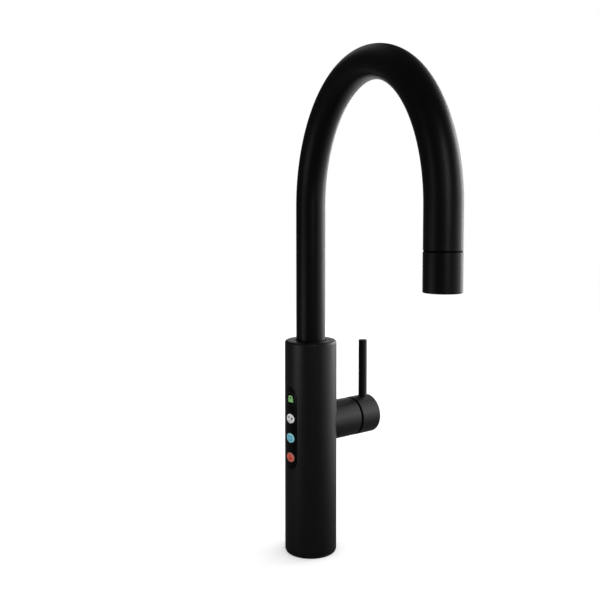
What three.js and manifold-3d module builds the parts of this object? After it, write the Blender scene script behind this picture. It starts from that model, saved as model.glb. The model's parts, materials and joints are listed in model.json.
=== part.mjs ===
// A boiling water tap: an upright round body with a swivelling gooseneck spout, a mixer lever on its right
// side and a strip of four keys on its left side. Millimetres and degrees. The origin is the centre of the
// body's foot on the worktop, +Z is up, the body's front faces -Y, the mixer's hub points along +X and the
// key strip faces -X.

import * as THREE from 'three';
import { mergeVertices } from 'three/addons/utils/BufferGeometryUtils.js';
import Module from 'manifold-3d';

const wasm = await Module();
wasm.setup();

// ---------------------------------------------------------------- Driving dimensions

const fit = 0.3; // clearance between neighbouring pieces
const past = 1; // how far a cutting solid reaches past what it cuts, or a joined one into its neighbour

// Body shell
const bodyRadius = 25;
const bodyHeight = 206.4;
const bodyWall = 2.6;
const bodyTopWall = 3;
const bodyEdge = 1;
const neckShadowGap = 0.9;

// Foot, shank and what clamps the tap to a worktop
const gasketHeight = 1.4;
const gasketInset = 0.7;
const gasketShankGap = 2.3;
const basePlateHeight = 8.5;
const shankRadius = 14;
const shankWall = 3.5;
const shankLength = 56;
const worktopThickness = 30;
const clampRubberHeight = 3;
const clampRubberOverhang = 1;
const clampWasherHeight = 2;
const shankNutAcrossFlats = 36;
const shankNutHeight = 8;

// Rods that tie the mixer housing to the base plate
const rodRadius = 2;
const rodNutAcrossFlats = 7;
const rodNutHeight = 3.2;
const rodEngagement = 6;
const rodTip = 1; // what stands out above the nut

// Spout
const tubeRadius = 14;
const tubeWall = 1.5;
const bendRadius = 116.25;
const bendCentreHeight = 334.3;
const downLegLength = 60.3;
const tubeInsertion = 14;
const spoutTurn = 15; // how far the spout is swung from the body's front towards the key strip
const swivelLeft = 60; // further swing towards the key strip, from the modelled position
const swivelRight = 90; // swing towards the mixer's hub, from the modelled position

// Spout bearing
const journalRadius = 9.7;
const journalLength = 35.4;
const spigotBore = 7.5;
const spigotCollarLength = 22;
const oringThickness = 1.2;
const oringFacets = 6;
const oringInset = 5;
const oringSpacing = 6;
const bushWall = 2.7;
const washerHeight = 1.6;
const stopScrewRadius = 2.3;
const stopTipRadius = 1.6;
const stopTipShoulder = 1; // from the socket's wall to the thicker part of the screw
const stopGrooveDepth = 1.7;
const stopScrewInset = 1.2;
const stopSocketDepth = 2;
const stopBelowTop = 26.2;

// Filtered water tube inside the spout
const filteredTubeRadius = 4;
const filteredTubeWall = 1.5;
const filteredTubeTail = 6;

// Outlet
const nozzleRadius = 14.1;
const nozzleLength = 28.3;
const nozzleJointGap = 1;
const nozzleWall = 2.1;
const nozzleChamfer = 0.6;
const nozzleLipHeight = 1.4;
const nozzleLipWidth = 0.9;
const nozzleCoreGrip = 12;
const nozzleCoreThread = 14.6;
const nozzleCoreWall = 2.7;
const nozzleOringThickness = 1;
const aeratorPlate = 3;
const aeratorWall = 1.5;
const aeratorHoleRadius = 1.2;
const aeratorHoles = 16;
const aeratorJetRadius = 2.4;
const aeratorSocketWall = 1.7;
const aeratorSocketLength = 15;
const aeratorSealHeight = 1.2;

// Mixer housing
const hubHeight = 123.7;
const columnRadius = 13;
const housingFlangeHeight = 7;
const housingFlangeDrop = 3;
const headFlareHeight = 6;
const socketWallBelow = 3;
const barrelEnd = 43;
const barrelWall = 2.5;
const seatDistance = 12; // from the body's axis to the cartridge seat
const waterwayRadius = 7;
const inletRadius = 2.2;
const inletOffset = 6.5;
const inletDrop = 3.5;
const outletRise = 6;
const waterwayBelowOutlet = 1.8;
const columnAboveCarrier = 1;
const inletDrillRadius = 2.6;
const inletDrillX = 4;
const inletDrillY = 8;
const innerSealDepth = 1.5;
const innerSealHeight = 1.8;

// Mixing cartridge, measured from the seat outwards
const seatSealHeight = 0.7;
const seatSealBand = 2.4;
const cartridgeFloor = 3.7;
const cartridgeLength = 24.7;
const cartridgeWall = 2;
const fixedDiscHeight = 2.7;
const movingDiscHeight = 3.3;
const movingDiscRadius = 7.4;
const discPocketRadius = 2.2;
const discPocketDepth = 1.8;
const driverStart = 12.5;
const driverLength = 13.2;
const pivotDistance = 20;
const pivotPinRadius = 1.5;
const pivotPinInset = 0.5;
const driverSlotPlay = 1;
const cartridgeNutHeight = 4;
const nutStemPlay = 0.5;

// Hub, knob, stem and pin lever
const hubRadius = 18.8;
const hubSleeveWall = 2.7;
const hubEnd = 49.8;
const hubLipHeight = 2;
const hubLipPlay = 1.5;
const hubEdge = 0.5;
const knobGroove = 2.2;
const knobRadius = 19;
const knobLength = 23.2;
const knobWall = 1.8;
const knobCavity = 8.5;
const knobEdge = 1;
const leverTilt = 18;
const stemRadius = 3.5;
const stemSquare = 6;
const stemFingerRadius = 1.6;
const stemFingerLength = 2.6;
const stemInKnob = 5.5;
const pinRadius = 4.3;
const pinTop = 76;
const pinFoot = 8.3;
const pinFromKnobEnd = 7.8;
const pinEdge = 0.4;
const knobScrewRadius = 2;
const knobPlugHeight = 1.6;
const knobPlugInset = 0.5;

// Key strip
const stripWidth = 17.5;
const stripLength = 79;
const panelGap = 0.25;
const panelThickness = 2.4;
const keyNames = ['boiling_key', 'chilled_key', 'sparkling_key', 'lock_key'];
const keyColours = [0xd84a3c, 0x5fc3dc, 0xeeeeee, 0x0a0a0b];
const keyEndMargin = 11.45; // from the strip's end to the middle of the nearest key
const keyWidth = 11.2;
const keyHeight = 8.8;
const keyProud = 0.5;
const keyTravel = 0.5;
const keyFlange = 1;
const keyBack = 5.1; // from the body's surface to the back of a key's flange
const keyMatPlay = 0.4;
const matThickness = 1;
const boardThickness = 1.3;
const carrierFloor = 1.2;
const carrierRim = 1.7;
const pocketInset = 0.35;
const ledSize = 3;
const ledHeight = 1;
const lampWindow = 4.8;
const connectorWidth = 10;
const connectorHeight = 6;
const connectorDepth = 5.6;
const connectorFromEnd = 6.5; // from the strip's lower end to the connector's middle

// Facets round a full circle
const wideFacets = 48;
const midFacets = 24;
const smallFacets = 16;
const holeFacets = 8;
const jetFacets = 6;
const grooveSegments = 8;
const endSegments = 6;
const ovalSegments = 8;
const bendSteps = 26;
const filteredBendSteps = 16;

// ---------------------------------------------------------------- Worked-out places

const bodyInner = bodyRadius - bodyWall;
const bodyTopUnderside = bodyHeight - bodyTopWall;
const shellFoot = gasketHeight + fit;
const innerFit = bodyInner - fit; // radius of what stands inside the shell
const throughWall = [-2 * bodyRadius, -columnRadius]; // along X, through the shell's key strip side

const basePlateTop = shellFoot + basePlateHeight;
const shankHole = shankRadius + fit;
const rodCircle = (columnRadius + bodyInner) / 2;
const clampRadius = bodyRadius;
const clampTop = -worktopThickness;
const clampWasherTop = clampTop - clampRubberHeight - fit;
const shankNutTop = clampWasherTop - clampWasherHeight - fit;

const tubeBore = tubeRadius - tubeWall;
const tubeFoot = bodyHeight - tubeInsertion;
const spoutReach = 2 * bendRadius;
const nozzleEnd = bendCentreHeight - downLegLength;
const nozzleTop = nozzleEnd + nozzleLength;
const tubeEnd = nozzleTop + nozzleJointGap;

const washerTop = tubeFoot - fit;
const socketTop = washerTop - washerHeight - fit;
const socketRadius = journalRadius + fit;
const journalFoot = tubeFoot - journalLength;
const socketFoot = journalFoot - fit;
const bushInner = tubeRadius + fit;
const bushOuter = bushInner + bushWall;
const housingTop = bodyTopUnderside - fit;
const stopHeight = bodyHeight - stopBelowTop;
const stopGrooveFloor = journalRadius - stopGrooveDepth;

const barrelRadius = hubRadius - hubSleeveWall - fit;
const cartridgeBore = barrelRadius - barrelWall;
const cartridgeRadius = cartridgeBore - fit;
const cartridgeCavity = cartridgeRadius - cartridgeWall;
const discRadius = cartridgeCavity - fit;
const flangeTop = hubHeight - barrelRadius - housingFlangeDrop;
const housingFoot = flangeTop - housingFlangeHeight;
const stripHeight = hubHeight; // the strip's middle is level with the hub
const carrierTop = stripHeight + stripLength / 2 + carrierRim;
const socketColumnTop = Math.max(socketFoot + socketWallBelow, carrierTop + columnAboveCarrier);
const waterwayFoot = hubHeight + outletRise - inletRadius - waterwayBelowOutlet;
const filteredFit = filteredTubeRadius + fit;

const cartridgeFoot = seatDistance + seatSealHeight + 2 * fit;
const cartridgeDeck = cartridgeFoot + cartridgeFloor;
const cartridgeTop = cartridgeFoot + cartridgeLength;
const fixedDiscFoot = cartridgeDeck + fit;
const movingDiscFoot = fixedDiscFoot + fixedDiscHeight + fit;
const movingDiscTop = movingDiscFoot + movingDiscHeight;
const driverFoot = seatDistance + driverStart;
const driverTop = driverFoot + driverLength;
const pivotX = seatDistance + pivotDistance;
const stemFoot = driverFoot + fit;
const tiltSine = Math.sin(THREE.MathUtils.degToRad(leverTilt));
const tiltTangent = Math.tan(THREE.MathUtils.degToRad(leverTilt));

const knobStart = hubEnd + knobGroove;
const knobEnd = knobStart + knobLength;
const knobCavityEnd = knobStart + knobCavity;
const stemEnd = knobCavityEnd + stemInKnob;
const pinX = knobEnd - pinFromKnobEnd;
const hubLipOpening = stemRadius + (hubEnd - pivotX) * tiltTangent + hubLipPlay;

const keyBackX = -(bodyRadius - keyBack);
const matFrontX = keyBackX + keyTravel + keyMatPlay;
const boardFrontX = matFrontX + matThickness + fit;
const boardBackX = boardFrontX + boardThickness;
const carrierFloorX = boardBackX + fit;
const carrierBackX = carrierFloorX + carrierFloor;
const housingFlatX = carrierBackX + fit;
const panelInner = bodyRadius - panelThickness;
const keyPitch = (stripLength - 2 * keyEndMargin) / (keyNames.length - 1);
const pocketWidth = stripWidth - 2 * pocketInset;
const pocketLength = stripLength - 2 * pocketInset;

// ---------------------------------------------------------------- Finishes

const finish = (color, roughness, metalness) =>
  new THREE.MeshStandardMaterial({ color, roughness, metalness });
const mattBlack = finish(0x17171a, 0.55, 0.2);
const brass = finish(0xb5975a, 0.4, 0.9);
const steel = finish(0xb9bcc0, 0.35, 0.9);
const rubber = finish(0x1b1b1b, 0.9, 0);
const whitePlastic = finish(0xe8e6df, 0.6, 0);
const greyPlastic = finish(0x4a4d52, 0.6, 0);
const blackPlastic = finish(0x202022, 0.6, 0);
const ceramic = finish(0xf1efe9, 0.25, 0);
const glossBlack = finish(0x050507, 0.08, 0);
const circuitGreen = finish(0x1f5a37, 0.5, 0.1);
const clearTube = finish(0xcfd8dc, 0.4, 0);

// ---------------------------------------------------------------- Solids

// Turns the faces of a closed geometry outwards.
function facingOut(geometry) {
  const place = geometry.attributes.position;
  const order = geometry.index.array;
  const corner = [new THREE.Vector3(), new THREE.Vector3(), new THREE.Vector3()];
  let volume = 0;
  for (let i = 0; i < order.length; i += 3) {
    corner.forEach((point, k) => point.fromBufferAttribute(place, order[i + k]));
    volume += corner[0].dot(corner[1].cross(corner[2]));
  }
  if (volume < 0) {
    for (let i = 0; i < order.length; i += 3) {
      [order[i], order[i + 1]] = [order[i + 1], order[i]];
    }
  }
  return geometry;
}

// A geometry with only its corners, each held once, and no triangle that has shrunk to a line.
function welded(geometry) {
  const bare = geometry.clone();
  bare.deleteAttribute('normal');
  bare.deleteAttribute('uv');
  const merged = mergeVertices(bare);
  const order = [];
  for (let i = 0; i < merged.index.count; i += 3) {
    const [a, b, c] = merged.index.array.slice(i, i + 3);
    if (a !== b && b !== c && c !== a) {
      order.push(a, b, c);
    }
  }
  merged.setIndex(order);
  return facingOut(merged);
}

function toSolid(geometry) {
  const bare = welded(geometry);
  const vertProperties = new Float32Array(bare.attributes.position.array);
  const triVerts = new Uint32Array(bare.index.array);
  return new wasm.Manifold(new wasm.Mesh({ numProp: 3, vertProperties, triVerts }));
}

function toGeometry(made) {
  const mesh = made.getMesh();
  const geometry = new THREE.BufferGeometry();
  geometry.setAttribute('position', new THREE.BufferAttribute(new Float32Array(mesh.vertProperties), 3));
  geometry.setIndex(new THREE.BufferAttribute(new Uint32Array(mesh.triVerts), 1));
  geometry.computeVertexNormals();
  return geometry;
}

const join = (first, ...others) =>
  toGeometry(others.reduce((sum, other) => sum.add(toSolid(other)), toSolid(first)));
const cut = (first, ...tools) =>
  toGeometry(tools.reduce((rest, tool) => rest.subtract(toSolid(tool)), toSolid(first)));
const common = (first, second) => toGeometry(toSolid(first).intersect(toSolid(second)));

// A solid turned about Z from [radius, height] corners. An outline off the axis closes on itself.
function turned(outline, facets) {
  const points = outline.map(([radius, height]) => new THREE.Vector2(radius, height));
  if (outline[0][0] > 0) {
    points.push(points[0].clone());
  }
  return welded(new THREE.LatheGeometry(points, facets).rotateX(Math.PI / 2));
}

const disc = (radius, low, high, facets) =>
  turned([[0, low], [radius, low], [radius, high], [0, high]], facets);
const ring = (inner, outer, low, high, facets) =>
  turned([[inner, low], [outer, low], [outer, high], [inner, high]], facets);

function block(x, y, z) {
  const size = [x, y, z].map(([low, high]) => high - low);
  const middle = [x, y, z].map(([low, high]) => (low + high) / 2);
  return new THREE.BoxGeometry(...size).translate(...middle);
}

// A six-sided prism along Z with two flats across Y.
function hexagon(acrossFlats, low, high) {
  const corner = acrossFlats / Math.sqrt(3);
  return new THREE.CylinderGeometry(corner, corner, high - low, 6)
    .rotateX(Math.PI / 2)
    .rotateZ(Math.PI / 2)
    .translate(0, 0, (low + high) / 2);
}

// A sealing ring lying flat.
const oring = (middle, thickness, height) =>
  new THREE.TorusGeometry(middle, thickness / 2, oringFacets, midFacets).translate(0, 0, height);

// Lays what stands along Z down along +X, at the height of the mixer's hub.
const alongHub = (geometry) => geometry.rotateY(Math.PI / 2).translate(0, 0, hubHeight);

// Lays what stands along Z down along +Y.
const alongY = (geometry) => geometry.rotateX(-Math.PI / 2);

// An outline drawn in Y and Z, drawn out along X from low to high.
function acrossX(shape, low, high, curveSegments) {
  const drawn = new THREE.ExtrudeGeometry(shape, { depth: high - low, bevelEnabled: false, curveSegments });
  const turn = new THREE.Matrix4().makeBasis(
    new THREE.Vector3(0, 1, 0),
    new THREE.Vector3(0, 0, 1),
    new THREE.Vector3(1, 0, 0),
  );
  return welded(drawn.applyMatrix4(turn).translate(low, 0, 0));
}

// An upright strip with round ends, centred on the key strip.
function stadium(width, length) {
  const end = width / 2;
  const straight = length / 2 - end;
  const shape = new THREE.Shape();
  shape.absarc(0, stripHeight + straight, end, 0, Math.PI);
  shape.absarc(0, stripHeight - straight, end, Math.PI, 2 * Math.PI);
  return shape;
}

function oval(width, height, middle) {
  const shape = new THREE.Shape();
  shape.absellipse(0, middle, width / 2, height / 2, 0, 2 * Math.PI);
  return shape;
}

const group = new THREE.Group();

function add(name, geometry, material, parent = group) {
  const mesh = new THREE.Mesh(geometry, material.clone());
  mesh.name = name;
  parent.add(mesh);
}

// ---------------------------------------------------------------- Body shell

function bodyShell() {
  const tube = turned([
    [bodyInner, shellFoot],
    [bodyRadius, shellFoot],
    [bodyRadius, bodyHeight - bodyEdge],
    [bodyRadius - bodyEdge, bodyHeight],
    [tubeRadius + neckShadowGap, bodyHeight],
    [tubeRadius + neckShadowGap, bodyTopUnderside],
    [bodyInner, bodyTopUnderside],
  ], wideFacets);
  const keyWindow = acrossX(stadium(stripWidth, stripLength), ...throughWall, endSegments);
  const hubHole = alongHub(disc(barrelRadius + fit, columnRadius, 2 * bodyRadius, midFacets));
  const stopHole = alongY(disc(stopScrewRadius + fit, bodyInner / 2, 2 * bodyRadius, holeFacets));
  return cut(tube, keyWindow, hubHole, stopHole.translate(0, 0, stopHeight));
}

add('body_shell', bodyShell(), mattBlack);

// ---------------------------------------------------------------- Foot and worktop clamp

const gasketOuter = bodyRadius - gasketInset;
const gasketInner = shankRadius + gasketShankGap;
add('base_gasket', ring(gasketInner, gasketOuter, 0, gasketHeight, wideFacets), rubber);

const rodSides = [['front', -1], ['back', 1]];
const rodHole = (side, low, high) =>
  disc(rodRadius + fit, low, high, holeFacets).translate(0, side * rodCircle, 0);

function basePlate() {
  const plate = ring(shankHole, innerFit, shellFoot, basePlateTop, midFacets);
  const rodSeat = basePlateTop - rodEngagement - fit;
  return cut(plate, ...rodSides.map(([, side]) => rodHole(side, rodSeat, 2 * basePlateTop)));
}

add('base_plate', basePlate(), brass);

const shankBore = shankRadius - shankWall;
add('mounting_shank', ring(shankBore, shankRadius, -shankLength, basePlateTop, midFacets), brass);

const clampRing = (radius, top, height) => ring(shankHole, radius, top - height, top, midFacets);
add('clamp_rubber', clampRing(clampRadius + clampRubberOverhang, clampTop, clampRubberHeight), rubber);
add('clamp_washer', clampRing(clampRadius, clampWasherTop, clampWasherHeight), steel);
add(
  'shank_nut',
  cut(
    hexagon(shankNutAcrossFlats, shankNutTop - shankNutHeight, shankNutTop),
    disc(shankHole, shankNutTop - 2 * shankNutHeight, shankNutTop + shankNutHeight, midFacets),
  ),
  brass,
);

// ---------------------------------------------------------------- Stay rods

const rodNutFoot = flangeTop + fit;
const rodNutTop = rodNutFoot + rodNutHeight;

for (const [name, side] of rodSides) {
  const rod = disc(rodRadius, basePlateTop - rodEngagement, rodNutTop + rodTip, holeFacets);
  const nut = cut(
    hexagon(rodNutAcrossFlats, rodNutFoot, rodNutTop),
    disc(rodRadius + fit, rodNutFoot - past, rodNutTop + past, holeFacets),
  );
  add(`stay_rod_${name}`, rod.translate(0, side * rodCircle, 0), steel);
  add(`stay_nut_${name}`, nut.translate(0, side * rodCircle, 0), steel);
}

// ---------------------------------------------------------------- Mixer housing

const innerSealFoot = housingFoot + (flangeTop - housingFoot) / 2;

// All that is hollow about the body's axis: the inner tube's way in, the waterway and the spout's socket.
function housingWaterway() {
  const sealRadius = filteredFit + innerSealDepth;
  return turned([
    [0, housingFoot - past],
    [filteredFit, housingFoot - past],
    [filteredFit, innerSealFoot],
    [sealRadius, innerSealFoot],
    [sealRadius, innerSealFoot + innerSealHeight],
    [filteredFit, innerSealFoot + innerSealHeight],
    [filteredFit, waterwayFoot],
    [waterwayRadius, waterwayFoot],
    [waterwayRadius, socketFoot],
    [socketRadius, socketFoot],
    [socketRadius, socketTop],
    [bushOuter + fit, socketTop],
    [bushOuter + fit, housingTop + past],
    [0, housingTop + past],
  ], midFacets);
}

// One of the two inlets: drilled up from below, then out to the cartridge seat.
function housingInlet(side) {
  const seatHeight = hubHeight - inletDrop;
  const rise = disc(inletDrillRadius, housingFoot - past, seatHeight, holeFacets);
  const branch = disc(inletRadius, inletDrillX - past, seatDistance + past, holeFacets);
  return [
    rise.translate(inletDrillX, side * inletDrillY, 0),
    branch.rotateY(Math.PI / 2).translate(0, side * inletOffset, seatHeight),
  ];
}

function mixerHousing() {
  const column = turned([
    [0, housingFoot],
    [columnRadius, housingFoot],
    [columnRadius, socketColumnTop],
    [innerFit, socketColumnTop + headFlareHeight],
    [innerFit, housingTop],
    [0, housingTop],
  ], midFacets);
  const flange = disc(innerFit, housingFoot, flangeTop, midFacets);
  const barrel = alongHub(disc(barrelRadius, 0, barrelEnd, midFacets));
  const cartridgeWell = alongHub(disc(cartridgeBore, seatDistance, barrelEnd + past, midFacets));
  const mixedWay = alongHub(disc(inletRadius, 0, seatDistance + past, holeFacets));
  const stripFlat = block([-2 * bodyRadius, housingFlatX], [-bodyRadius, bodyRadius], [0, socketColumnTop]);
  const stopHole = alongY(disc(stopScrewRadius + fit, journalRadius, bodyRadius, holeFacets));
  return cut(
    join(column, flange, barrel),
    stripFlat,
    housingWaterway(),
    cartridgeWell,
    mixedWay.translate(0, 0, outletRise),
    ...housingInlet(-1),
    ...housingInlet(1),
    ...rodSides.map(([, side]) => rodHole(side, housingFoot - past, flangeTop + past)),
    stopHole.translate(0, 0, stopHeight),
  );
}

add('mixer_housing', mixerHousing(), brass);

const innerSealMiddle = filteredFit + (innerSealDepth - fit) / 2;
const innerSealRing = oring(innerSealMiddle, innerSealDepth - fit, innerSealFoot + innerSealHeight / 2);
add('inner_tube_seal', innerSealRing, rubber);

// ---------------------------------------------------------------- Mixing cartridge

const ports = (low, high) => [
  alongHub(disc(inletRadius, low, high, holeFacets)).translate(0, -inletOffset, -inletDrop),
  alongHub(disc(inletRadius, low, high, holeFacets)).translate(0, inletOffset, -inletDrop),
  alongHub(disc(inletRadius, low, high, holeFacets)).translate(0, 0, outletRise),
];

const seatSealFoot = seatDistance + fit;
const seatSealTop = seatSealFoot + seatSealHeight;
const seatSeal = ring(cartridgeRadius - seatSealBand, cartridgeRadius, seatSealFoot, seatSealTop, midFacets);
add('cartridge_seal', alongHub(seatSeal), rubber);

const cartridgeCup = turned([
  [0, cartridgeFoot],
  [cartridgeRadius, cartridgeFoot],
  [cartridgeRadius, cartridgeTop],
  [cartridgeCavity, cartridgeTop],
  [cartridgeCavity, cartridgeDeck],
  [0, cartridgeDeck],
], midFacets);
const cupPorts = ports(cartridgeFoot - past, cartridgeDeck + past);
add('cartridge_body', cut(alongHub(cartridgeCup), ...cupPorts), whitePlastic);

const fixedDisc = alongHub(disc(discRadius, fixedDiscFoot, fixedDiscFoot + fixedDiscHeight, midFacets));
add('fixed_disc', cut(fixedDisc, ...ports(fixedDiscFoot - past, movingDiscFoot)), ceramic);

const movingDisc = turned([
  [0, movingDiscFoot],
  [movingDiscRadius, movingDiscFoot],
  [movingDiscRadius, movingDiscTop],
  [discPocketRadius, movingDiscTop],
  [discPocketRadius, movingDiscTop - discPocketDepth],
  [0, movingDiscTop - discPocketDepth],
], smallFacets);
add('moving_disc', alongHub(movingDisc), ceramic);

// The slot lets the stem tilt: it is as high as the stem sweeps at either end of the driver.
function cartridgeDriver() {
  const barrel = alongHub(disc(discRadius, driverFoot, driverTop, midFacets));
  const arm = Math.max(pivotX - driverFoot, driverTop - pivotX);
  const halfHeight = stemRadius + arm * tiltSine + driverSlotPlay;
  const halfWidth = stemRadius + fit;
  const slot = block(
    [driverFoot - past, driverTop + past],
    [-halfWidth, halfWidth],
    [hubHeight - halfHeight, hubHeight + halfHeight],
  );
  const pinHole = alongY(disc(pivotPinRadius + fit, -2 * discRadius, 2 * discRadius, holeFacets));
  return cut(barrel, slot, pinHole.translate(pivotX, 0, hubHeight));
}

add('cartridge_driver', cartridgeDriver(), greyPlastic);

const pivotPinHalf = discRadius - pivotPinInset;
const pivotPin = alongY(disc(pivotPinRadius, -pivotPinHalf, pivotPinHalf, holeFacets));
add('stem_pivot_pin', pivotPin.translate(pivotX, 0, hubHeight), steel);

// A ring nut with a six-sided bore wide enough for the tilting stem.
function cartridgeNut() {
  const foot = cartridgeTop + fit;
  const top = foot + cartridgeNutHeight;
  const sweep = stemRadius + nutStemPlay + (top - pivotX) * tiltTangent;
  const body = disc(cartridgeRadius, foot, top, midFacets);
  return alongHub(cut(body, hexagon(2 * (sweep + fit), foot - past, top + past)));
}

add('cartridge_nut', cartridgeNut(), brass);

// ---------------------------------------------------------------- Hub sleeve

function hubSleeve() {
  const bore = barrelRadius + fit;
  const sleeve = turned([
    [bore, 0],
    [hubRadius, 0],
    [hubRadius, hubEnd - hubEdge],
    [hubRadius - hubEdge, hubEnd],
    [hubLipOpening, hubEnd],
    [hubLipOpening, hubEnd - hubLipHeight],
    [bore, hubEnd - hubLipHeight],
  ], wideFacets);
  return cut(alongHub(sleeve), disc(bodyRadius + fit, 0, bodyHeight, wideFacets));
}

add('hub_sleeve', hubSleeve(), mattBlack);

// ---------------------------------------------------------------- Lever: stem, knob, pin and knob screw

function leverStem() {
  const squareStart = hubEnd;
  const half = stemSquare / 2;
  const round = alongHub(turned([
    [0, stemFoot - stemFingerLength],
    [stemFingerRadius, stemFoot - stemFingerLength],
    [stemFingerRadius, stemFoot],
    [stemRadius, stemFoot],
    [stemRadius, squareStart],
    [0, squareStart],
  ], smallFacets));
  const square = block([squareStart - past, stemEnd], [-half, half], [hubHeight - half, hubHeight + half]);
  const pinHole = alongY(disc(pivotPinRadius + fit, -2 * stemRadius, 2 * stemRadius, holeFacets));
  return cut(join(round, square), pinHole.translate(pivotX, 0, hubHeight));
}

add('lever_stem', leverStem(), steel);

const screwX = (knobCavityEnd + stemEnd) / 2;

function leverKnob() {
  const cup = alongHub(turned([
    [0, knobCavityEnd],
    [knobRadius - knobWall, knobCavityEnd],
    [knobRadius - knobWall, knobStart],
    [knobRadius, knobStart],
    [knobRadius, knobEnd - knobEdge],
    [knobRadius - knobEdge, knobEnd],
    [0, knobEnd],
  ], wideFacets));
  const half = stemSquare / 2 + fit;
  const socketSpan = [knobCavityEnd - past, stemEnd + fit];
  const socket = block(socketSpan, [-half, half], [hubHeight - half, hubHeight + half]);
  const pinHole = disc(pinRadius + fit, pinFoot - fit, 2 * knobRadius, smallFacets);
  const screwHole = disc(knobScrewRadius + fit, -2 * knobRadius, 0, holeFacets);
  return cut(
    cup,
    socket,
    pinHole.translate(pinX, 0, hubHeight),
    screwHole.translate(screwX, 0, hubHeight),
  );
}

add('lever_knob', leverKnob(), mattBlack);

const leverPin = turned([
  [0, pinFoot],
  [pinRadius, pinFoot],
  [pinRadius, pinTop - pinEdge],
  [pinRadius - pinEdge, pinTop],
  [0, pinTop],
], smallFacets);
add('lever_pin', leverPin.translate(pinX, 0, hubHeight), mattBlack);

const plugFoot = -(knobRadius - knobPlugInset);
const plugTop = plugFoot + knobPlugHeight;
const knobScrew = disc(knobScrewRadius, plugTop + fit, -(stemSquare / 2 + fit), holeFacets);
const knobPlug = disc(knobScrewRadius, plugFoot, plugTop, holeFacets);
add('knob_screw', knobScrew.translate(screwX, 0, hubHeight), steel);
add('knob_screw_plug', knobPlug.translate(screwX, 0, hubHeight), rubber);

// ---------------------------------------------------------------- Spout bearing in the body

const swivelWasher = ring(socketRadius, bushOuter, washerTop - washerHeight, washerTop, midFacets);
add('swivel_washer', swivelWasher, blackPlastic);
add('swivel_bush', ring(bushInner, bushOuter, washerTop + fit, housingTop, midFacets), blackPlastic);

// A grub screw behind the body. Its tip runs in the spigot's groove, holds the spout down and stops its
// swing.
function stopScrew() {
  const tipStart = stopGrooveFloor + fit;
  const tipEnd = socketRadius + stopTipShoulder;
  const headEnd = bodyRadius - stopScrewInset;
  const screw = alongY(turned([
    [0, tipStart],
    [stopTipRadius, tipStart],
    [stopTipRadius, tipEnd],
    [stopScrewRadius, tipEnd],
    [stopScrewRadius, headEnd],
    [0, headEnd],
  ], smallFacets));
  const keyHole = alongY(hexagon(stopScrewRadius, headEnd - stopSocketDepth, headEnd + past));
  return cut(screw, keyHole).translate(0, 0, stopHeight);
}

add('stop_screw', stopScrew(), steel);

// ---------------------------------------------------------------- Spout

// The spout is modelled reaching along +X, and its group turns it to where it points.
const spout = new THREE.Group();
const spoutHeading = THREE.MathUtils.degToRad(-90 - spoutTurn);
spout.rotation.z = spoutHeading;
group.add(spout);

// Straight up from the foot, half a turn over, then straight down to the end. Each straight takes one step
// of the parameter, and the bend takes the others.
class Gooseneck extends THREE.Curve {
  constructor(foot, end, stepsInBend) {
    super();
    this.foot = foot;
    this.end = end;
    this.stepsInBend = stepsInBend;
    this.steps = stepsInBend + 2;
  }

  getUtoTmapping(u) {
    return u;
  }

  getPoint(t, target = new THREE.Vector3()) {
    const step = t * this.steps;
    const lastStep = step - this.steps + 1;
    if (step < 1) {
      return target.set(0, 0, THREE.MathUtils.lerp(this.foot, bendCentreHeight, step));
    }
    if (lastStep > 0) {
      return target.set(spoutReach, 0, THREE.MathUtils.lerp(bendCentreHeight, this.end, lastStep));
    }
    const turn = (Math.PI * (step - 1)) / this.stepsInBend;
    const x = bendRadius * (1 - Math.cos(turn));
    const z = bendCentreHeight + bendRadius * Math.sin(turn);
    return target.set(x, 0, z);
  }
}

// A pipe that follows the gooseneck from foot to end.
function pipe(outer, inner, foot, end, stepsInBend, facets) {
  const section = new THREE.Shape();
  section.absarc(0, 0, outer, 0, 2 * Math.PI);
  const bore = new THREE.Path();
  bore.absarc(0, 0, inner, 0, 2 * Math.PI);
  section.holes.push(bore);
  const extrudePath = new Gooseneck(foot, end, stepsInBend);
  const settings = { extrudePath, steps: extrudePath.steps, curveSegments: facets / 2 };
  return welded(new THREE.ExtrudeGeometry(section, settings));
}

add('spout_tube', pipe(tubeRadius, tubeBore, tubeFoot, tubeEnd, bendSteps, midFacets), mattBlack, spout);

const aeratorFoot = nozzleEnd + nozzleLipHeight + fit;
const aeratorDeck = aeratorFoot + aeratorPlate;
const filteredTube = pipe(
  filteredTubeRadius,
  filteredTubeRadius - filteredTubeWall,
  housingFoot - filteredTubeTail,
  aeratorDeck + fit,
  filteredBendSteps,
  holeFacets,
);
add('filtered_tube', filteredTube, clearTube, spout);

// The slot that the stop screw's tip runs in, as a wedge of a flat ring about the spout's axis.
function stopGroove() {
  const tipAngle = Math.asin((stopTipRadius + fit) / stopGrooveFloor);
  const screwHeading = Math.PI / 2;
  const from = screwHeading - THREE.MathUtils.degToRad(swivelRight) - tipAngle;
  const to = screwHeading + THREE.MathUtils.degToRad(swivelLeft) + tipAngle;
  const halfHeight = stopTipRadius + fit;
  const wedge = new THREE.Shape();
  wedge.absarc(0, 0, journalRadius + past, from, to);
  wedge.absarc(0, 0, stopGrooveFloor, to, from, true);
  const depth = 2 * halfHeight;
  const drawn = new THREE.ExtrudeGeometry(wedge, {
    depth,
    bevelEnabled: false,
    curveSegments: grooveSegments,
  });
  return drawn.rotateZ(-spoutHeading).translate(0, 0, stopHeight - halfHeight);
}

const oringHeights = [journalFoot + oringInset, journalFoot + oringInset + oringSpacing];

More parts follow.
